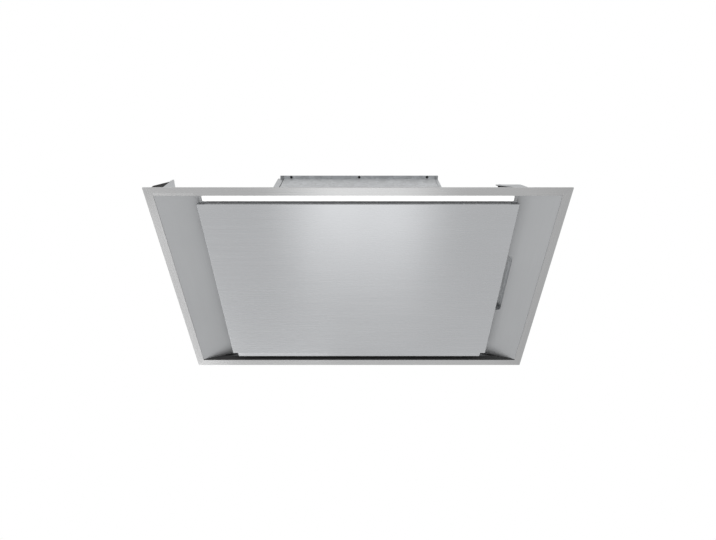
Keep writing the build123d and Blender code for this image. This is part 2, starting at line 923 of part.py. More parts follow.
def build_motor():
    """An outer-rotor motor inside the fan, carried by a spider on the far inlet."""
    rotor_radius = 46.0
    rotor_wall = 3.0
    rotor_near = 1.0
    rotor_far = 40.0
    hub_radius = 8.0
    shaft_radius = 4.0
    stator_radius = rotor_radius - 3.6
    stator_near = rotor_near + 4.0
    neck_radius = 24.0
    neck_near = rotor_far - 2.0
    neck_far = 58.0
    slot_count = 12
    arm_count = 3
    first_arm = 30.0  # degrees
    centre = (fan_x, fan_z)

    def disc(y_from, y_to, radius, bore=0.0):
        """A disc or ring round the fan's axis."""
        with BuildSketch(xz_at(y_from)) as face:
            with Locations(centre):
                Circle(radius)
                if bore:
                    Circle(bore, mode=Mode.SUBTRACT)
        extrude(face.sketch, amount=y_from - y_to)

    with BuildPart() as rotor:
        disc(rotor_near, rotor_near + 2, rotor_radius, shaft_radius)
        disc(rotor_near + 2, rotor_far, rotor_radius, rotor_radius - rotor_wall)
        disc(-7, rotor_near, hub_radius, shaft_radius)
    save(rotor.part, "motor_rotor")

    with BuildPart() as shaft:
        disc(-8, neck_far - 3, shaft_radius)
    save(shaft.part, "motor_shaft")

    with BuildPart() as stator:
        disc(stator_near, neck_near, stator_radius, shaft_radius + running_clearance)
        disc(neck_near, neck_far, neck_radius, shaft_radius + running_clearance)
        # slots between the windings
        with BuildSketch(xz_at(stator_near)):
            with Locations(centre):
                with PolarLocations(rotor_radius - 9, slot_count):
                    Rectangle(13, 3)
        extrude(amount=-27, mode=Mode.SUBTRACT)
    save(stator.part, "motor_stator")

    arm_reach = fan_radius + 4.0
    arm_width = 10.0
    arm_sheet = 2.0
    eye_radius = 8.0
    eye_bore = 4.2
    spider_y = scroll_half + 3.0
    with BuildPart() as mount:
        disc(neck_far, spider_y + arm_sheet, neck_radius, shaft_radius + 1)
        with BuildSketch(xz_at(spider_y)):
            with Locations(centre):
                with PolarLocations(arm_reach / 2 + 8, arm_count, start_angle=first_arm):
                    Rectangle(arm_reach - 12, arm_width)
                with PolarLocations(arm_reach, arm_count, start_angle=first_arm):
                    Circle(eye_radius)
                    Circle(eye_bore, mode=Mode.SUBTRACT)
        extrude(amount=-arm_sheet)
    save(mount.part, "motor_mount")

    flange_height = 3.0
    with BuildPart() as grommets:
        # each grommet has a wide foot, a neck in the arm's eye and a cap
        for y, radius, height in (
            (scroll_half, eye_radius, flange_height),
            (spider_y, eye_bore, arm_sheet),
            (spider_y + arm_sheet, eye_radius - 1, flange_height),
        ):
            with BuildSketch(xz_at(y)):
                with Locations(centre):
                    with PolarLocations(arm_reach, arm_count, start_angle=first_arm):
                        Circle(radius)
            extrude(amount=-height)
    save(grommets.part, "motor_grommets")


# ======== duct collar and its flaps ========

collar_root = Plane((-wall_x, 0, duct_z), x_dir=(0, 1, 0), z_dir=(-1, 0, 0))
collar_length = 77.2
collar_flange = 168.0
collar_flange_sheet = 3.0
collar_screw_pitch = 150.0
collar_screw_radius = 2.2
flap_shaft_x = -227.0
flap_shaft_radius = 1.5
flap_radius = duct_radius - collar_wall - 1.5
flap_sheet = 1.0
knuckles = {"near": [-50.0, 0.0, 50.0], "far": [-25.0, 25.0]}
knuckle_half = 12.0


def build_duct_collar():
    corner_radius = 8.0
    with BuildPart() as collar:
        with BuildSketch(collar_root):
            RectangleRounded(collar_flange, collar_flange, corner_radius)
            Circle(duct_radius - collar_wall, mode=Mode.SUBTRACT)
            with GridLocations(collar_screw_pitch, collar_screw_pitch, 2, 2):
                Circle(collar_screw_radius, mode=Mode.SUBTRACT)
        extrude(amount=collar_flange_sheet)
        with BuildSketch(collar_root):
            Circle(duct_radius)
            Circle(duct_radius - collar_wall, mode=Mode.SUBTRACT)
        extrude(amount=collar_length)
        with Locations((flap_shaft_x, 0, duct_z)):
            Cylinder(flap_shaft_radius, 2 * (duct_radius + past), mode=Mode.SUBTRACT)
    save(collar.part, "duct_collar")


def build_collar_screws():
    half_pitch = collar_screw_pitch / 2
    head_x = -wall_x - collar_flange_sheet
    with BuildPart() as screws:
        for y in (-half_pitch, half_pitch):
            for z in (duct_z - half_pitch, duct_z + half_pitch):
                screw((head_x, y, z), (-1, 0, 0), collar_flange_sheet - 0.1, shank=collar_screw_radius)
    save(screws.part, "collar_screws")


def build_flap_shaft():
    end_gap = 0.2
    with BuildPart() as shaft:
        with Locations((flap_shaft_x, 0, duct_z)):
            Cylinder(flap_shaft_radius, 2 * (duct_radius - end_gap))
    save(shaft.part, "flap_shaft")


def build_flap(which, side):
    """A half-round backdraft flap hung on the upright shaft; side is -1 for near, 1 for far."""
    knuckle_radius = 3.0
    hinge_gap = 3.45  # the plate stops short of the shaft between its knuckles
    flap_plane = Plane((flap_shaft_x - flap_sheet / 2, 0, duct_z), x_dir=(0, 1, 0), z_dir=(1, 0, 0))
    with BuildPart() as flap:
        with BuildSketch(flap_plane):
            Circle(flap_radius)
            with Locations((side * (hinge_gap - flap_radius), 0)):
                Rectangle(2 * flap_radius, 2 * flap_radius, mode=Mode.SUBTRACT)
            for z in knuckles[which]:
                with Locations((side * (hinge_gap / 2 + 0.5), z)):
                    Rectangle(hinge_gap, 2 * knuckle_half)
        extrude(amount=flap_sheet)
        for z in knuckles[which]:
            with BuildSketch(Plane.XY.offset(duct_z + z - knuckle_half)):
                with Locations((flap_shaft_x, 0)):
                    Circle(knuckle_radius)
            extrude(amount=2 * knuckle_half)
        with Locations((flap_shaft_x, 0, duct_z)):
            Cylinder(flap_shaft_radius + running_clearance, 2 * duct_radius, mode=Mode.SUBTRACT)
    save(flap.part, f"flap_{which}")


# ======== connection box ========

box_low = (290.0, -70.0, plateau_z)
box_high = (390.0, 70.0, plateau_z + 45.0)
box_mid_x = (box_low[0] + box_high[0]) / 2
box_wall = 2.0
box_corner = 4.0
box_lid_z = box_high[2] - 4.0
gland_at = (box_mid_x, box_high[1], plateau_z + 22.0)
gland_stem = 8.0
lid_screw_pitch = (84.0, 124.0)
lid_screw_radius = 1.7
lid_screw_head = 3.2
lid_screw_sink = 1.5


def build_connection_box():
    with BuildPart() as base:
        box_between(box_low, (box_high[0], box_high[1], box_lid_z))
        fillet(base.edges().filter_by(Axis.Z), box_corner)
        box_between(
            tuple(v + box_wall for v in box_low),
            (box_high[0] - box_wall, box_high[1] - box_wall, box_lid_z + past),
            Mode.SUBTRACT,
        )
        with Locations(Plane(gland_at, z_dir=(0, 1, 0))):
            Cylinder(gland_stem + play / 2, 2 * (box_wall + past), mode=Mode.SUBTRACT)
    save(base.part, "connection_box")


def build_connection_lid():
    edge_radius = 1.2
    with BuildPart() as lid:
        box_between((box_low[0], box_low[1], box_lid_z), box_high)
        fillet(lid.edges().filter_by(Axis.Z), box_corner)
        fillet(lid.edges().group_by(Axis.Z)[-1], edge_radius)
        with Locations(lid.faces().sort_by(Axis.Z)[-1]):
            with GridLocations(*lid_screw_pitch, 2, 2):
                CounterBoreHole(lid_screw_radius, lid_screw_head + play, lid_screw_sink)
    save(lid.part, "connection_lid")


def build_box_screws():
    """The lid's four screws, sunk flush with its top."""
    head_z = box_high[2] - lid_screw_sink
    crown_radius = 0.6
    with BuildPart() as screws:
        for z, radius, height in (
            (box_lid_z, lid_screw_radius, head_z - box_lid_z),
            (head_z, lid_screw_head, lid_screw_sink),
        ):
            with BuildSketch(Plane.XY.offset(z)):
                with Locations((box_mid_x, 0)):
                    with GridLocations(*lid_screw_pitch, 2, 2):
                        Circle(radius)
            extrude(amount=height)
        fillet(screws.edges().group_by(Axis.Z)[-1], crown_radius)
    save(screws.part, "box_screws")


def build_control_board():
    """The board on its four stand-offs, with a transformer, a relay, a fuse and terminals."""
    board_thickness = 1.6
    board_z = box_low[2] + 8.0
    parts_z = board_z + board_thickness
    stand_off_radius = 3.0
    stand_off_height = 6.0
    capacitor_radius = 7.0
    capacitor_height = 21.0
    terminal_count = 5
    terminal_pitch = 9.0
    terminal_width = 8.0
    with BuildPart() as board:
        box_between((box_low[0] + 8, -58, board_z), (box_high[0] - 8, 50, parts_z))
        with GridLocations(60, 90, 2, 2):
            with Locations((box_mid_x, -4, board_z - stand_off_height / 2)):
                Cylinder(stand_off_radius, stand_off_height)
        box_between((305, -50, parts_z), (330, -20, board_z + 24))
        box_between((345, -48, parts_z), (372, -26, board_z + 16))
        box_between((305, -5, parts_z), (318, 12, board_z + 14))
        with Locations((356, 2, parts_z + capacitor_height / 2 - 0.1)):
            Cylinder(capacitor_radius, capacitor_height)
        for i in range(terminal_count):
            # terminal block under the gland
            x = 318 + terminal_pitch * i
            box_between((x, 34, parts_z), (x + terminal_width, 48, board_z + 15))
    save(board.part, "control_board")


def build_cable_gland():
    """A bushing in the box's far wall: a hexagon, a domed cap and a stem, with a free bore."""
    hexagon_radius = 12.0
    hexagon_height = 6.0
    cap_radius = 10.5
    cap_height = 12.0
    dome_radius = 3.0
    stem_length = 8.0
    bore_radius = 5.0
    centre = (gland_at[0], gland_at[2])
    wall = gland_at[1]
    with BuildPart() as gland:
        with BuildSketch(xz_at(wall)):
            with Locations(centre):
                RegularPolygon(hexagon_radius, 6)
        extrude(amount=-hexagon_height)
        with BuildSketch(xz_at(wall + hexagon_height)):
            with Locations(centre):
                Circle(cap_radius)
        extrude(amount=-cap_height)
        fillet(gland.edges().filter_by(GeomType.CIRCLE).sort_by(Axis.Y)[-1], dome_radius)
        with BuildSketch(xz_at(wall)):
            with Locations(centre):
                Circle(gland_stem)
        extrude(amount=stem_length)
        with BuildSketch(xz_at(wall - stem_length)):
            with Locations(centre):
                Circle(bore_radius)
        extrude(amount=-(stem_length + hexagon_height + cap_height), mode=Mode.SUBTRACT)
    save(gland.part, "cable_gland")


# ======== turn-out ceiling clamps ========

clamp_z = 11.5
arm_thickness = 1.5
jaw_thickness = 3.0
jaw_pivot = (-33.0, 60.0)
jaw_eye = 3.5
fold_angle = 57.0
arm_pin = 2.5
jaw_pin = 2.0
skirt_gap = 1.6  # between the body's skirt and the jaw
clamp_gap = 0.4  # between the jaw and the arm
jaw_out = skirt_gap + jaw_thickness / 2
arm_out = skirt_gap + jaw_thickness + clamp_gap + arm_thickness / 2
clamps = {  # pivot's x, side in y, folded in
    "near_left": (-386.0, -1, False),
    "near_right": (370.0, -1, True),
    "far_left": (-386.0, 1, False),
    "far_right": (386.0, 1, False),
}


def clamp_plane(pivot_x, side_y, stowed, out):
    """A clamp's own plane: x towards the hood's middle and y up, turned inwards when stowed."""
    wall = skirt_near if side_y < 0 else skirt_far
    origin = (pivot_x, wall + side_y * out, clamp_z)
    inwards = Vector(-1 if pivot_x > 0 else 1, 0, 0)
    up = Vector(0, 0, 1)
    if stowed:
        return Plane(origin, x_dir=-up, z_dir=(-up).cross(inwards))
    return Plane(origin, x_dir=inwards, z_dir=inwards.cross(up))


def build_clamp(name):
    pivot_x, side_y, stowed = clamps[name]
    arm_eye = 8.0
    rivet_length = 4.2
    with BuildPart() as arm:
        with BuildSketch(clamp_plane(pivot_x, side_y, stowed, arm_out)):
            with BuildLine():
                Polyline(
                    (5, -6),
                    (9, 5),
                    (-8, 16),
                    (-31, 68.5),
                    (-34.5, 68.5),
                    (-34.5, 14),
                    (-16.5, 4),
                    (-6, -7),
                    close=True,
                )
            make_face()
            Circle(arm_eye)
            with Locations(jaw_pivot):
                Circle(jaw_eye)
            Circle(arm_pin + running_clearance, mode=Mode.SUBTRACT)
        extrude(amount=arm_thickness / 2, both=True)
        # rivet for the jaw, one piece with the arm
        jaw_side = clamp_plane(pivot_x, side_y, stowed, jaw_out)
        with BuildSketch(clamp_plane(pivot_x, side_y, stowed, arm_out)):
            with Locations(jaw_pivot):
                Circle(jaw_pin)
        extrude(amount=rivet_length if jaw_side.z_dir.Y * side_y < 0 else -rivet_length)
    save(arm.part, f"clamp_arm_{name}")

    turn = fold_angle if stowed else 0
    pivot = jaw_side.location * Location((*jaw_pivot, 0), (0, 0, turn))
    with BuildPart() as jaw:
        with BuildSketch(Plane(pivot)):
            with BuildLine():
                Polyline((-2.5, 4), (-30, -28.5), (-30, -40), (-27, -45), (1, -44), (2, 2), close=True)
            make_face()
            Circle(jaw_eye)
            Circle(jaw_pin + running_clearance, mode=Mode.SUBTRACT)
        extrude(amount=jaw_thickness / 2, both=True)
    save(jaw.part, f"clamp_jaw_{name}")


def build_clamp_pivots():
    spacer_radius = 6.0
    spacer_length = 4.6
    pin_length = 7.0
    cap_radius = 5.0
    cap_height = 1.6
    with BuildPart() as pivots:
        for pivot_x, side_y, _ in clamps.values():
            wall = skirt_near if side_y < 0 else skirt_far
            plane = Plane((pivot_x, wall, clamp_z), z_dir=(0, side_y, 0))
            with BuildSketch(plane):
                Circle(spacer_radius)
            extrude(amount=spacer_length)
            with BuildSketch(plane):
                Circle(arm_pin)
            extrude(amount=pin_length)
            with BuildSketch(plane.offset(pin_length)):
                Circle(cap_radius)
            extrude(amount=cap_height)
    save(pivots.part, "clamp_pivots")


build_outer_frame()
build_side_plate("side_plate_left", -1)
build_side_plate("side_plate_right", 1)
build_grip_cup()
build_far_air_guide()
build_light_housing()
build_light_diffuser()
build_led_board()
build_centre_panel()
build_back_tray()
for which in hinge_offsets:
    build_panel_hinge(which)
build_hinge_pins()
build_catch_studs()
build_catch_clips()
build_filter_deck()
for number, x in enumerate(filter_places, 1):
    build_filter(number, x)
build_canopy_body()
build_canopy_screws()
build_motor_housing()
build_housing_front()
build_housing_lid()
build_housing_screws()
build_scroll("scroll_near", -1)
build_scroll("scroll_far", 1)
build_impeller()
build_motor()
build_duct_collar()
build_collar_screws()
build_flap_shaft()
build_flap("near", -1)
build_flap("far", 1)
build_connection_box()
build_connection_lid()
build_box_screws()
build_control_board()
build_cable_gland()
for name in clamps:
    build_clamp(name)
build_clamp_pivots()
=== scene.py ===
import json
from math import cos, pi, radians, sin

import bpy
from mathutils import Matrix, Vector


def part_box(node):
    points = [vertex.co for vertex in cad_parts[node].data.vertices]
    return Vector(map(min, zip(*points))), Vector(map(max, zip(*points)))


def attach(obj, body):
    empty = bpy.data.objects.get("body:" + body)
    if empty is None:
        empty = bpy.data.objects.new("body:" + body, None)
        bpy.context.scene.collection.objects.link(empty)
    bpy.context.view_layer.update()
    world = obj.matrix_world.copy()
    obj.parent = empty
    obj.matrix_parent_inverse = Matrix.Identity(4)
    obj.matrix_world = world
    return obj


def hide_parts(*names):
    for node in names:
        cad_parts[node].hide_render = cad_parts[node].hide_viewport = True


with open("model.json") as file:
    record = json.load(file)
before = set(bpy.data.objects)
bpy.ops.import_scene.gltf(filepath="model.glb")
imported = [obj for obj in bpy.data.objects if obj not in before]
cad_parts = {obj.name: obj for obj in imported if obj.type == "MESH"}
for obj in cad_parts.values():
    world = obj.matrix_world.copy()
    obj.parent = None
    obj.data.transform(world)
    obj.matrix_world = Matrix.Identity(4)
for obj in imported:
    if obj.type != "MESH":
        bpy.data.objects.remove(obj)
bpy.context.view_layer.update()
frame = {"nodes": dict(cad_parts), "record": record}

NODES = frame["nodes"]

# ---- the photograph's camera ----
PHOTO_WIDTH = 716
CAMERA_PLACE = (0.010, -0.516524, -0.825385)
CAMERA_PITCH = 54.838  # degrees above the horizon, looking along +Y
CAMERA_LENS = 19.968
SHIFT_PIXELS = (-4.75, 40.65)

# ---- the frame's outline ----
HALF_LENGTH = 0.450
HALF_WIDTH = 0.250

# ---- rounded edges: cosines between the face's normal and the rounded one ----
FLAT_COSINE = 0.995
EDGE_COSINE = 0.85

# ---- brushed steel: marks per metre across and along the brushing ----
MARKS_ACROSS = 1400.0
MARKS_ALONG = 7.0
PAINTED_SHADE_FROM, PAINTED_SHADE_TO = 0.36, 0.44  # the border's colour darkens between these two x: painted shade on its right side, which faces away from the light
PAINTED_SHADE_SHARE = 0.90

LED_PITCH = 0.021
FLANGE_Z = 0.290  # the housing's front is less metallic below the flange that carries its lid, and its zinc is paler than the rest: painted light that keeps it bright

# ---- floor and background ----
FLOOR_Z = -1.6
FLOOR_HALF = 6.0
FLOOR_GLOW = 0.88  # as mirrored in metal
WORLD_LIGHT = 0.6
WORLD_SHOWN = 1.0  # white

# ---- soft lamps that lie low and face up: the steel mirrors them ----
LOW_LAMP_Z = -1.45
LAMP_STEP = 0.01  # each lamp lies a little lower than the one before
LOW_LAMPS = (  # name, middle x, middle y, width, depth, watts
    ("key_wide", 0.0, 0.15, 1.0, 0.9, 0.74),
    ("key_middle", 0.0, 0.25, 0.75, 1.0, 0.79),
    ("key_core", 0.0, 0.10, 0.5, 0.7, 0.20),
    ("side_left", -1.9, 1.60, 0.8, 2.4, 8.1),
    ("side_core", -1.5, 1.90, 0.5, 1.4, 0.37),
    ("far_left", -1.55, 2.30, 0.6, 0.8, 3.0),
    ("far_middle", -0.9, 2.50, 1.2, 0.7, 2.64),
    ("far_strip", 0.0, 2.60, 3.0, 1.0, 1.8),
)
TOP_LAMP_PLACE = (0.4, 1.1, 1.9)
TOP_LAMP_SIDE = 3.4
TOP_LAMP_WATTS = 32.0
TOP_LAMP_TILT = -30

# ---- expanded metal in the filters ----
MESH_LAYERS = (  # height share, diamond's length, diamond's width, shift
    (0.18, 0.0100, 0.0052, 0),
    (0.5, 0.0125, 0.0066, 1),
    (0.82, 0.0100, 0.0052, 1),
)
STRAND_HALF_WIDTH = 0.0006
STRAND_HALF_HEIGHT = 0.00035
STRAND_GAP = 0.0004
STRAND_RIPPLE = 0.0003

# ---- screw heads ----
SHEET_SCREW_RADIUS, SHEET_SCREW_HEIGHT = 0.0035, 0.0022
LID_SCREW_RADIUS, LID_SCREW_HEIGHT = 0.0036, 0.0030
BOX_SCREW_RADIUS, BOX_SCREW_HEIGHT = 0.0032, 0.0015
HEAD_SPOKES = 32
HEAD_RINGS = 14


# ======== node helpers ========


class Shading:
    """One material's node tree, with short calls that make and link nodes."""

    def __init__(self, name):
        self.material = bpy.data.materials.new(name)
        self.material.use_nodes = True
        self.tree = self.material.node_tree
        self.shader = self.tree.nodes["Principled BSDF"]
        self.place = self.node("ShaderNodeTexCoord").outputs["Object"]

    def node(self, kind, inputs=None, **settings):
        made = self.tree.nodes.new(kind)
        for key, value in settings.items():
            setattr(made, key, value)
        for key, value in (inputs or {}).items():
            self.feed(made.inputs[key], value)
        return made

    def feed(self, socket, value):
        if isinstance(value, bpy.types.NodeSocket):
            self.tree.links.new(value, socket)
        else:
            socket.default_value = value

    def surface(self, **inputs):
        for key, value in inputs.items():
            self.feed(self.shader.inputs[key.replace("_", " ")], value)

    def math(self, operation, *values):
        made = self.node("ShaderNodeMath", operation=operation)
        for socket, value in zip(made.inputs, values):
            self.feed(socket, value)
        return made.outputs[0]

    def scaled(self, scale):
        """The place on the hood, multiplied by a scale per axis."""
        made = self.node("ShaderNodeVectorMath", operation="MULTIPLY")
        self.feed(made.inputs[0], self.place)
        made.inputs[1].default_value = scale
        return made.outputs[0]

    def noise(self, scale=1.0, place=None, detail=3.0, roughness=0.5):
        values = {"Vector": place or self.place, "Scale": scale, "Detail": detail, "Roughness": roughness}
        return self.node("ShaderNodeTexNoise", values).outputs["Fac"]

    def ramp(self, value, low, high, out_low=0.0, out_high=1.0):
        values = {"Value": value, "From Min": low, "From Max": high, "To Min": out_low, "To Max": out_high}
        return self.node("ShaderNodeMapRange", values).outputs["Result"]

    def blend(self, factor, first, second):
        made = self.node("ShaderNodeMix", data_type="RGBA")
        self.feed(made.inputs["Factor"], factor)
        for socket, value in ((made.inputs[6], first), (made.inputs[7], second)):
            self.feed(socket, value if isinstance(value, bpy.types.NodeSocket) else (*value, 1.0))
        return made.outputs[2]

    def dimmed(self, colour, factor):
        """A colour multiplied by one factor."""
        made = self.node("ShaderNodeVectorMath", {"Vector": colour}, operation="SCALE")
        self.feed(made.inputs["Scale"], factor)
        return made.outputs["Vector"]

    def mixed_vector(self, factor, first, second):
        """The first vector where the factor is 0 and the second where it is 1."""
        made = self.node("ShaderNodeMix", data_type="VECTOR")
        self.feed(made.inputs["Factor"], factor)
        self.feed(made.inputs[4], first)
        self.feed(made.inputs[5], second)
        return made.outputs[1]

    def split(self, place=None):
        return self.node("ShaderNodeSeparateXYZ", {"Vector": place or self.place}).outputs

    def rounded(self, radius):
        """The normal of edges rounded by radius, and a mask that is 1 on those edges."""
        soft = self.node("ShaderNodeBevel", {"Radius": radius}, samples=4).outputs["Normal"]
        true = self.node("ShaderNodeNewGeometry").outputs["Normal"]
        same = self.node("ShaderNodeVectorMath", operation="DOT_PRODUCT")
        self.feed(same.inputs[0], soft)
        self.feed(same.inputs[1], true)
        return soft, self.ramp(same.outputs["Value"], FLAT_COSINE, EDGE_COSINE)

    def bump(self, height, strength, distance, normal=None):
        made = self.node("ShaderNodeBump", {"Height": height, "Strength": strength, "Distance": distance})
        if normal is not None:
            self.feed(made.inputs["Normal"], normal)
        self.feed(self.shader.inputs["Normal"], made.outputs["Normal"])


def shade(value, factor):
    return tuple(component * factor for component in value)


# ======== materials ========


def brushed_steel(name, colour, along, roughness, stretch, contrast=0.05, edge=0.0006):
    """Rolled stainless steel, brushed along one axis ('x', 'y') or round a frame's border ('frame')."""
    s = Shading(name)
    along_x = s.scaled((MARKS_ALONG, MARKS_ACROSS, MARKS_ACROSS))
    along_y = s.scaled((MARKS_ACROSS, MARKS_ALONG, MARKS_ACROSS))
    if along == "frame":
        x, y, _ = s.split()
        to_side = s.math("SUBTRACT", HALF_LENGTH, s.math("ABSOLUTE", x))
        to_long = s.math("SUBTRACT", HALF_WIDTH, s.math("ABSOLUTE", y))
        on_side = s.math("LESS_THAN", to_side, to_long)
        grain_place = s.mixed_vector(on_side, along_x, along_y)
        across = s.mixed_vector(on_side, (0.0, 1.0, 0.0), (1.0, 0.0, 0.0))
    else:
        grain_place = along_x if along == "x" else along_y
        across = (0.0, 1.0, 0.0) if along == "x" else (1.0, 0.0, 0.0)
    grain = s.noise(1.0, grain_place, detail=4.0, roughness=0.6)
    smudge = s.noise(5.0, detail=2.0)
    normal, edges = s.rounded(edge)
    dark, light = shade(colour, 1 - contrast), shade(colour, 1 + contrast)
    streaked = s.blend(s.ramp(grain, 0.3, 0.7), dark, light)
    clouded = s.blend(s.ramp(smudge, 0.35, 0.65, 0.0, 0.25), streaked, shade(colour, 0.96))
    # rounded edges are made lighter: a painted highlight
    edge_highlighted = s.blend(s.math("MULTIPLY", edges, 0.35), clouded, shade(colour, 1.25))
    # the border's colour darkens towards its right side: painted shade where it faces away from the light
    if along == "frame":
        edge_highlighted = s.dimmed(edge_highlighted, s.ramp(x, PAINTED_SHADE_FROM, PAINTED_SHADE_TO, 1.0, PAINTED_SHADE_SHARE))
    fine = s.ramp(grain, 0.3, 0.7, roughness - 0.03, roughness + 0.03)
    rough = s.math("ADD", fine, s.ramp(smudge, 0.3, 0.7, -0.015, 0.015))
    s.surface(Base_Color=edge_highlighted, Metallic=1.0, Roughness=rough, Anisotropic=stretch)
    turned = s.node("ShaderNodeVectorTransform", {"Vector": across}, vector_type="VECTOR")
    turned.convert_from, turned.convert_to = "OBJECT", "WORLD"
    s.feed(s.shader.inputs["Tangent"], turned.outputs["Vector"])
    s.bump(grain, 0.10, 0.00004, normal)
    return s.material


def galvanised(name, colour, spangle=0.010, dull_below=None):
    """Zinc-dipped sheet: crystals of different shade and fine grain, dull below a height if one is given."""
    s = Shading(name)
    cells = s.node("ShaderNodeTexVoronoi", {"Vector": s.place, "Scale": 1 / spangle, "Randomness": 1.0})
    tone = s.split(cells.outputs["Color"])[0]
    fine = s.noise(900.0, detail=3.0)
    cloud = s.noise(6.0, detail=3.0)
    normal, edges = s.rounded(0.0006)
    crystal = s.blend(tone, shade(colour, 0.84), shade(colour, 1.1))
    dusty = s.blend(s.ramp(cloud, 0.4, 0.7, 0.0, 0.35), crystal, shade(colour, 0.88))
    # rounded edges are made lighter: a painted highlight
    edge_highlighted = s.blend(s.math("MULTIPLY", edges, 0.4), dusty, shade(colour, 1.25))
    rough = s.math("ADD", s.ramp(tone, 0.0, 1.0, 0.36, 0.50), s.ramp(fine, 0.3, 0.7, -0.04, 0.04))
    s.surface(Base_Color=edge_highlighted, Metallic=1.0, Roughness=rough)
    if dull_below is not None:
        s.surface(Metallic=s.ramp(s.split()[2], dull_below, dull_below + 0.0005, 0.25, 0.8))
    s.bump(fine, 0.12, 0.00006, normal)
    return s.material


def plain_metal(name, colour, roughness, scale=(300.0, 300.0, 300.0), contrast=0.08, edge=0.0004):
    """Turned, rolled or plated metal with fine marks and a painted highlight on its rounded edges."""
    s = Shading(name)
    marks = s.noise(1.0, s.scaled(scale), detail=4.0)
    cloud = s.noise(40.0, detail=2.0)
    normal, edges = s.rounded(edge)
    dark, light = shade(colour, 1 - contrast), shade(colour, 1 + contrast)
    base = s.blend(s.ramp(marks, 0.3, 0.7), dark, light)
    stained = s.blend(s.ramp(cloud, 0.4, 0.7, 0.0, 0.3), base, shade(colour, 0.85))
    # rounded edges are made lighter: a painted highlight
    edge_highlighted = s.blend(s.math("MULTIPLY", edges, 0.5), stained, shade(colour, 1.3))
    rough = s.ramp(marks, 0.3, 0.7, roughness - 0.06, roughness + 0.06)
    s.surface(Base_Color=edge_highlighted, Metallic=1.0, Roughness=rough)
    s.bump(marks, 0.15, 0.00005, normal)
    return s.material


def moulded(name, colour, roughness, grain=2200.0, edge=0.0006, glow=0.0, sheen=0.5):
    """Moulded plastic or rubber: an even spark-eroded grain, a little dust and lighter rounded edges, partly
    wear from handling and partly a painted highlight.
    """
    s = Shading(name)
    pits = s.noise(grain, detail=2.0, roughness=0.4)
    cloud = s.noise(12.0, detail=3.0)
    normal, edges = s.rounded(edge)
    base = s.blend(s.ramp(pits, 0.35, 0.65), shade(colour, 0.9), shade(colour, 1.1))
    lighter = tuple(c * 0.9 + 0.02 for c in colour)
    dusty = s.blend(s.ramp(cloud, 0.45, 0.75, 0.0, 0.4), base, lighter)
    # rounded edges are lighter: wear from handling together with a painted highlight
    rubbed_and_edge_lit = s.blend(s.math("MULTIPLY", edges, 0.3), dusty, tuple(c * 1.1 + 0.03 for c in colour))
    s.surface(Base_Color=rubbed_and_edge_lit, Roughness=s.ramp(cloud, 0.3, 0.7, roughness - 0.05, roughness + 0.05))
    s.surface(Emission_Color=(1.0, 1.0, 1.0, 1.0), Emission_Strength=glow, Specular_IOR_Level=sheen)
    s.bump(pits, 0.25, 0.00006, normal)
    return s.material


def lit_diffuser(name):
    """Opal acrylic with a row of lamps behind it."""
    s = Shading(name)
    x = s.split()[0]
    wave = s.math("COSINE", s.math("MULTIPLY", x, 2 * pi / LED_PITCH))
    grain = s.noise(1500.0, detail=2.0)
    glow = s.ramp(wave, -1.0, 1.0, 0.92, 1.06)
    s.surface(
        Base_Color=s.blend(s.ramp(grain, 0.3, 0.7), (0.90, 0.90, 0.89), (0.95, 0.95, 0.94)),
        Roughness=s.ramp(grain, 0.3, 0.7, 0.28, 0.36),
        Emission_Color=(1.0, 1.0, 1.0, 1.0),
        Emission_Strength=glow,
    )
    s.bump(grain, 0.05, 0.00003)
    return s.material


def circuit_board(name):
    """Green solder mask over copper tracks."""
    s = Shading(name)
    tracks = s.node("ShaderNodeTexBrick", {"Vector": s.place, "Scale": 90.0, "Mortar Size": 0.03})
    cloud = s.noise(60.0, detail=2.0)
    mask = s.blend(cloud, (0.012, 0.11, 0.045), (0.02, 0.15, 0.06))
    s.surface(
        Base_Color=s.blend(tracks.outputs["Fac"], mask, (0.05, 0.24, 0.10)),
        Roughness=s.ramp(cloud, 0.3, 0.7, 0.3, 0.4),
    )
    s.bump(tracks.outputs["Fac"], 0.2, 0.00005)
    return s.material


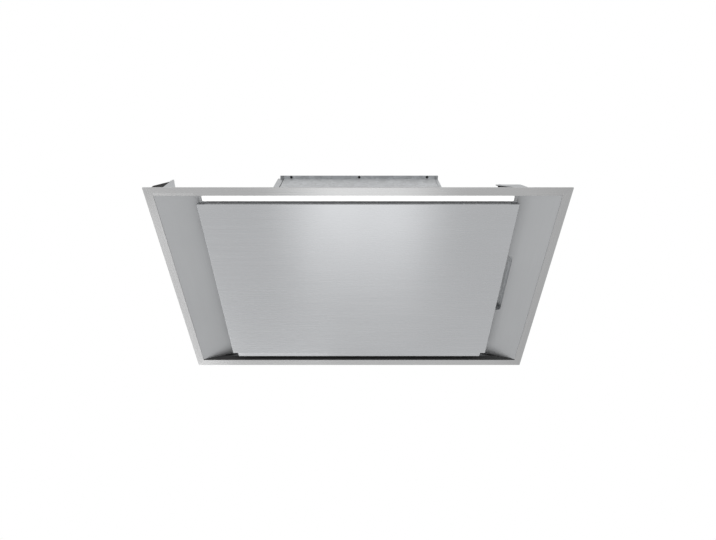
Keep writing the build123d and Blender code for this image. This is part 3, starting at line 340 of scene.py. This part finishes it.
MATERIALS = {
    "satin_stainless": brushed_steel("satin_stainless", (0.430, 0.437, 0.445), "y", 0.55, 0.4),
    "border_stainless": brushed_steel("border_stainless", (0.488, 0.489, 0.491), "frame", 0.26, 0.8),
    "brushed_stainless": brushed_steel("brushed_stainless", (0.495, 0.503, 0.516), "x", 0.26, 0.8),
    "galvanised": galvanised("galvanised", (0.46, 0.47, 0.48)),
    # pale_lit_sheet: a paler, less metallic copy of the zinc, so the housing's front reads lit: painted
    # light
    "pale_lit_sheet": galvanised("pale_lit_sheet", (0.64, 0.655, 0.67), dull_below=FLANGE_Z),
    "aluminium": plain_metal("aluminium", (0.62, 0.63, 0.64), 0.35, (900.0, 30.0, 900.0)),
    "pale_plastic": moulded("pale_plastic", (0.60, 0.60, 0.59), 0.5),
    # glowing_plastic: pale plastic with a weak painted glow, standing for the LED strip's light on the light
    # housing
    "glowing_plastic": moulded("glowing_plastic", (0.60, 0.60, 0.59), 0.5, glow=0.28),
    "black_screw": plain_metal("black_screw", (0.05, 0.05, 0.052), 0.4),
    "zinc_fastener": plain_metal("zinc_fastener", (0.52, 0.53, 0.52), 0.32),
    "black_plastic": moulded("black_plastic", (0.018, 0.018, 0.019), 0.5),
    "shade_matt_black": moulded("shade_matt_black", (0.014, 0.014, 0.015), 0.65, sheen=0.15),
    # gap_shade_black: a black lifted a little, for the strip along the far wall: painted shade that stands
    # for the dark gap beyond the panel's far edge
    "gap_shade_black": moulded("gap_shade_black", (0.052, 0.052, 0.053), 0.55),
    "grey_plastic": moulded("grey_plastic", (0.30, 0.31, 0.32), 0.48),
    "diffuser": lit_diffuser("diffuser"),
    "circuit_board": circuit_board("circuit_board"),
    "rubber": moulded("rubber", (0.02, 0.02, 0.02), 0.75, grain=1200.0),
}


# nodes whose look differs from their slot's: painted shade on the border's right side and on the far strip,
# a painted glow on the light housing, and a paler zinc painted as lit on the housing's front
OWN_LOOKS = {
    "outer_frame": "border_stainless",
    "far_air_guide": "gap_shade_black",
    "light_housing": "glowing_plastic",
    "housing_front": "pale_lit_sheet",
}
# the clamp jaws get a blacker, less shiny black than their slot: partly their black coating, partly painted
# shade on their undersides
JAW_LOOK = "shade_matt_black"


def dress_cad_nodes():
    slots = {entry["node"]: entry["material_slot"] for entry in frame["record"]["subparts"]}
    for name, thing in NODES.items():
        look = JAW_LOOK if name.startswith("clamp_jaw") else OWN_LOOKS.get(name, slots[name])
        thing.data.materials.clear()
        thing.data.materials.append(MATERIALS[look])


# ======== studio ========


def area_light(name, place, size, power, tilt):
    """A soft rectangular lamp, turned about the X axis from straight down."""
    data = bpy.data.lights.new(name, "AREA")
    data.shape = "RECTANGLE"
    data.size, data.size_y = size
    data.energy = power
    lamp = bpy.data.objects.new(name, data)
    lamp.location = place
    lamp.rotation_euler = (radians(tilt), 0, 0)
    lamp.visible_camera = False
    bpy.context.scene.collection.objects.link(lamp)


def build_world():
    """White as seen by camera, metal and glass; a softer white light on everything else."""
    world = bpy.data.worlds.new("studio")
    bpy.context.scene.world = world
    world.use_nodes = True
    tree = world.node_tree
    tree.nodes.clear()
    path = tree.nodes.new("ShaderNodeLightPath")
    seen = tree.nodes.new("ShaderNodeMath")
    seen.operation = "MAXIMUM"
    tree.links.new(path.outputs["Is Camera Ray"], seen.inputs[0])
    tree.links.new(path.outputs["Is Glossy Ray"], seen.inputs[1])
    either = tree.nodes.new("ShaderNodeMath")
    either.operation = "MAXIMUM"
    tree.links.new(seen.outputs[0], either.inputs[0])
    tree.links.new(path.outputs["Is Transmission Ray"], either.inputs[1])
    light, shown = tree.nodes.new("ShaderNodeBackground"), tree.nodes.new("ShaderNodeBackground")
    light.inputs["Strength"].default_value = WORLD_LIGHT
    shown.inputs["Strength"].default_value = WORLD_SHOWN
    for background in (light, shown):
        background.inputs["Color"].default_value = (1.0, 1.0, 1.0, 1.0)
    mix = tree.nodes.new("ShaderNodeMixShader")
    tree.links.new(either.outputs[0], mix.inputs[0])
    tree.links.new(light.outputs[0], mix.inputs[1])
    tree.links.new(shown.outputs[0], mix.inputs[2])
    out = tree.nodes.new("ShaderNodeOutputWorld")
    tree.links.new(mix.outputs[0], out.inputs["Surface"])


def build_floor():
    """A pale floor under the hanging hood; metal above it reflects it as a soft white."""
    mesh = bpy.data.meshes.new("floor")
    turns = ((-1, -1), (1, -1), (1, 1), (-1, 1))
    corners = [(x * FLOOR_HALF, y * FLOOR_HALF, FLOOR_Z) for x, y in turns]
    mesh.from_pydata(corners, [], [(0, 1, 2, 3)])
    floor = bpy.data.objects.new("floor", mesh)
    bpy.context.scene.collection.objects.link(floor)
    s = Shading("floor_paint")
    cloud = s.noise(1.5, detail=2.0)
    s.surface(Base_Color=s.blend(cloud, (0.86, 0.86, 0.86), (0.88, 0.88, 0.88)), Roughness=0.9)
    path = s.node("ShaderNodeLightPath").outputs
    mirrored = s.math("MAXIMUM", path["Is Glossy Ray"], path["Is Transmission Ray"])
    glow = s.node("ShaderNodeEmission", {"Color": (1.0, 1.0, 1.0, 1.0), "Strength": FLOOR_GLOW})
    mix = s.node("ShaderNodeMixShader", {"Fac": mirrored})
    s.feed(mix.inputs[1], s.shader.outputs[0])
    s.feed(mix.inputs[2], glow.outputs[0])
    s.feed(s.tree.nodes["Material Output"].inputs["Surface"], mix.outputs[0])
    mesh.materials.append(s.material)


def build_camera():
    """The photograph's camera: its place, its pitch and the shift that the crop gave it."""
    data = bpy.data.cameras.new("camera")
    data.sensor_width = 36.0
    data.lens = CAMERA_LENS
    data.shift_x = SHIFT_PIXELS[0] / PHOTO_WIDTH
    data.shift_y = SHIFT_PIXELS[1] / PHOTO_WIDTH
    camera = bpy.data.objects.new("camera", data)
    camera.location = CAMERA_PLACE
    camera.rotation_euler = (radians(90 + CAMERA_PITCH), 0, 0)
    bpy.context.scene.collection.objects.link(camera)
    bpy.context.scene.camera = camera


def build_studio():
    bpy.context.scene.view_settings.view_transform = "Standard"
    build_world()
    build_floor()
    for i, (name, x, y, width, depth, power) in enumerate(LOW_LAMPS):
        area_light(name, (x, y, LOW_LAMP_Z - i * LAMP_STEP), (width, depth), power, tilt=180)
    area_light("top_soft", TOP_LAMP_PLACE, (TOP_LAMP_SIDE, TOP_LAMP_SIDE), TOP_LAMP_WATTS, TOP_LAMP_TILT)
    build_camera()


# ======== detailed pieces ========


def mesh_piece(name, mesh, slot, node):
    """A finished mesh as a piece that rides on the hood and stands for a CAD node."""
    piece = bpy.data.objects.new(name, mesh)
    bpy.context.scene.collection.objects.link(piece)
    mesh.materials.append(MATERIALS[slot])
    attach(piece, "hood")
    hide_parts(node)


def add_strand(verts, faces, points):
    """A flat ribbon with a rectangular section through points in one plane."""
    first = len(verts)
    for x, y, z in points:
        for dy, dz in ((-1, -1), (1, -1), (1, 1), (-1, 1)):
            verts.append((x, y + dy * STRAND_HALF_WIDTH, z + dz * STRAND_HALF_HEIGHT))
    for i in range(len(points) - 1):
        a = first + 4 * i
        for k in range(4):
            m = (k + 1) % 4
            faces.append((a + k, a + m, a + 4 + m, a + 4 + k))
    faces.append((first + 3, first + 2, first + 1, first))
    last = first + 4 * (len(points) - 1)
    faces.append((last, last + 1, last + 2, last + 3))


def expanded_mesh(low, high):
    """Three layers of expanded aluminium between two corners, each with its own diamond."""
    verts, faces = [], []
    for level, pitch_x, pitch_y, turn in MESH_LAYERS:
        z = low.z + level * (high.z - low.z)
        rows = int((high.y - low.y) / pitch_y)
        columns = int((high.x - low.x) / (pitch_x / 2))
        start_y = (low.y + high.y - rows * pitch_y) / 2 + pitch_y / 2
        start_x = (low.x + high.x - columns * pitch_x / 2) / 2
        for row in range(rows):
            points = []
            for column in range(columns + 1):
                up = 1 if (row + column + turn) % 2 else -1
                y = start_y + row * pitch_y + up * (pitch_y / 2 - STRAND_GAP)
                points.append((start_x + column * pitch_x / 2, y, z + up * STRAND_RIPPLE))
            add_strand(verts, faces, points)
    mesh = bpy.data.meshes.new("expanded_mesh")
    mesh.from_pydata(verts, [], faces)
    mesh.validate()
    return mesh


def build_filter_cores():
    for number in (1, 2, 3):
        low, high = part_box(f"filter_core_{number}")
        mesh = expanded_mesh(low, high)
        mesh_piece(f"filter_mesh_{number}", mesh, "aluminium", f"filter_core_{number}")


def screw_head(verts, faces, place, outward, radius, height):
    """A domed head with a cross recess, standing on a place along a direction."""
    outward = Vector(outward)
    right = outward.orthogonal().normalized()
    up = outward.cross(right)
    arm, slot_width, recess = radius * 0.55, radius * 0.13, height * 0.55
    brim = radius * 0.08  # width of the recess's sloping sides
    edge_drop = 0.35  # share of the height that the dome falls to its edge
    angles = [2 * pi * k / HEAD_SPOKES for k in range(HEAD_SPOKES)]

    def top(x, y):
        r = min(1.0, (x * x + y * y) ** 0.5 / radius)
        dome = height * (1 - edge_drop * r ** 4)
        reach = 1 - min(1.0, max(0.0, (max(abs(x), abs(y)) - arm) / brim + 1))
        thin = 1 - min(1.0, max(0.0, (min(abs(x), abs(y)) - slot_width) / brim + 1))
        return dome - recess * reach * thin

    def put(x, y, z):
        verts.append(Vector(place) + right * x + up * y + outward * z)

    first = len(verts)
    put(0, 0, top(0, 0))
    for ring in range(1, HEAD_RINGS + 1):
        r = radius * ring / HEAD_RINGS
        for angle in angles:
            put(r * cos(angle), r * sin(angle), top(r * cos(angle), r * sin(angle)))
    for angle in angles:
        put(radius * cos(angle), radius * sin(angle), 0.0)
    for k in range(HEAD_SPOKES):
        faces.append((first, first + 1 + k, first + 1 + (k + 1) % HEAD_SPOKES))
    for ring in range(HEAD_RINGS):
        a = first + 1 + ring * HEAD_SPOKES
        for k in range(HEAD_SPOKES):
            m = (k + 1) % HEAD_SPOKES
            faces.append((a + k, a + HEAD_SPOKES + k, a + HEAD_SPOKES + m, a + m))


def screw_set(name, node, places, radius, height, slot):
    """Heads of one size, each at a place and standing out along a direction."""
    verts, faces = [], []
    for place, outward in places:
        screw_head(verts, faces, place, outward, radius, height)
    mesh = bpy.data.meshes.new(name)
    mesh.from_pydata(verts, [], faces)
    mesh.validate()
    mesh_piece(name, mesh, slot, node)


def island_boxes(node):
    """The lowest and highest corner of each separate solid in a CAD node."""
    mesh = NODES[node].data
    parent = list(range(len(mesh.vertices)))

    def root(i):
        while parent[i] != i:
            parent[i] = parent[parent[i]]
            i = parent[i]
        return i

    for edge in mesh.edges:
        a, b = (root(v) for v in edge.vertices)
        parent[a] = b
    same = {}
    for i, vertex in enumerate(mesh.vertices):
        key = tuple(round(c, 6) for c in vertex.co)
        if key in same:
            parent[root(i)] = root(same[key])
        same[key] = i
    groups = {}
    for i, vertex in enumerate(mesh.vertices):
        groups.setdefault(root(i), []).append(vertex.co)
    for points in groups.values():
        low = Vector([min(p[k] for p in points) for k in range(3)])
        high = Vector([max(p[k] for p in points) for k in range(3)])
        yield low, high


def build_skirt_screws():
    places = []
    for low, high in island_boxes("canopy_screws"):
        place = (low + high) / 2
        size = high - low
        axis = min(range(2), key=lambda k: size[k])
        outward = Vector((0, 0, 0))
        outward[axis] = 1 if place[axis] > 0 else -1
        tip = high[axis] if place[axis] > 0 else low[axis]
        place[axis] = tip - outward[axis] * SHEET_SCREW_HEIGHT
        places.append((place, outward))
    radius, height = SHEET_SCREW_RADIUS, SHEET_SCREW_HEIGHT
    screw_set("canopy_screw_set", "canopy_screws", places, radius, height, "zinc_fastener")


def build_lid_screws():
    places = []
    for low, high in island_boxes("housing_screws"):
        middle = (low + high) / 2
        places.append(((middle.x, middle.y, low.z + LID_SCREW_HEIGHT), (0, 0, -1)))
    radius, height = LID_SCREW_RADIUS, LID_SCREW_HEIGHT
    screw_set("housing_screw_set", "housing_screws", places, radius, height, "black_screw")


def build_collar_screws():
    places = []
    for low, high in island_boxes("collar_screws"):
        middle = (low + high) / 2
        places.append(((low.x + SHEET_SCREW_HEIGHT, middle.y, middle.z), (-1, 0, 0)))
    radius, height = SHEET_SCREW_RADIUS, SHEET_SCREW_HEIGHT
    screw_set("collar_screw_set", "collar_screws", places, radius, height, "zinc_fastener")


def build_box_screws():
    places = []
    for low, high in island_boxes("box_screws"):
        middle = (low + high) / 2
        places.append(((middle.x, middle.y, high.z - BOX_SCREW_HEIGHT), (0, 0, 1)))
    radius, height = BOX_SCREW_RADIUS, BOX_SCREW_HEIGHT
    screw_set("box_screw_set", "box_screws", places, radius, height, "zinc_fastener")


dress_cad_nodes()
build_filter_cores()
build_skirt_screws()
build_lid_screws()
build_collar_screws()
build_box_screws()
build_studio()
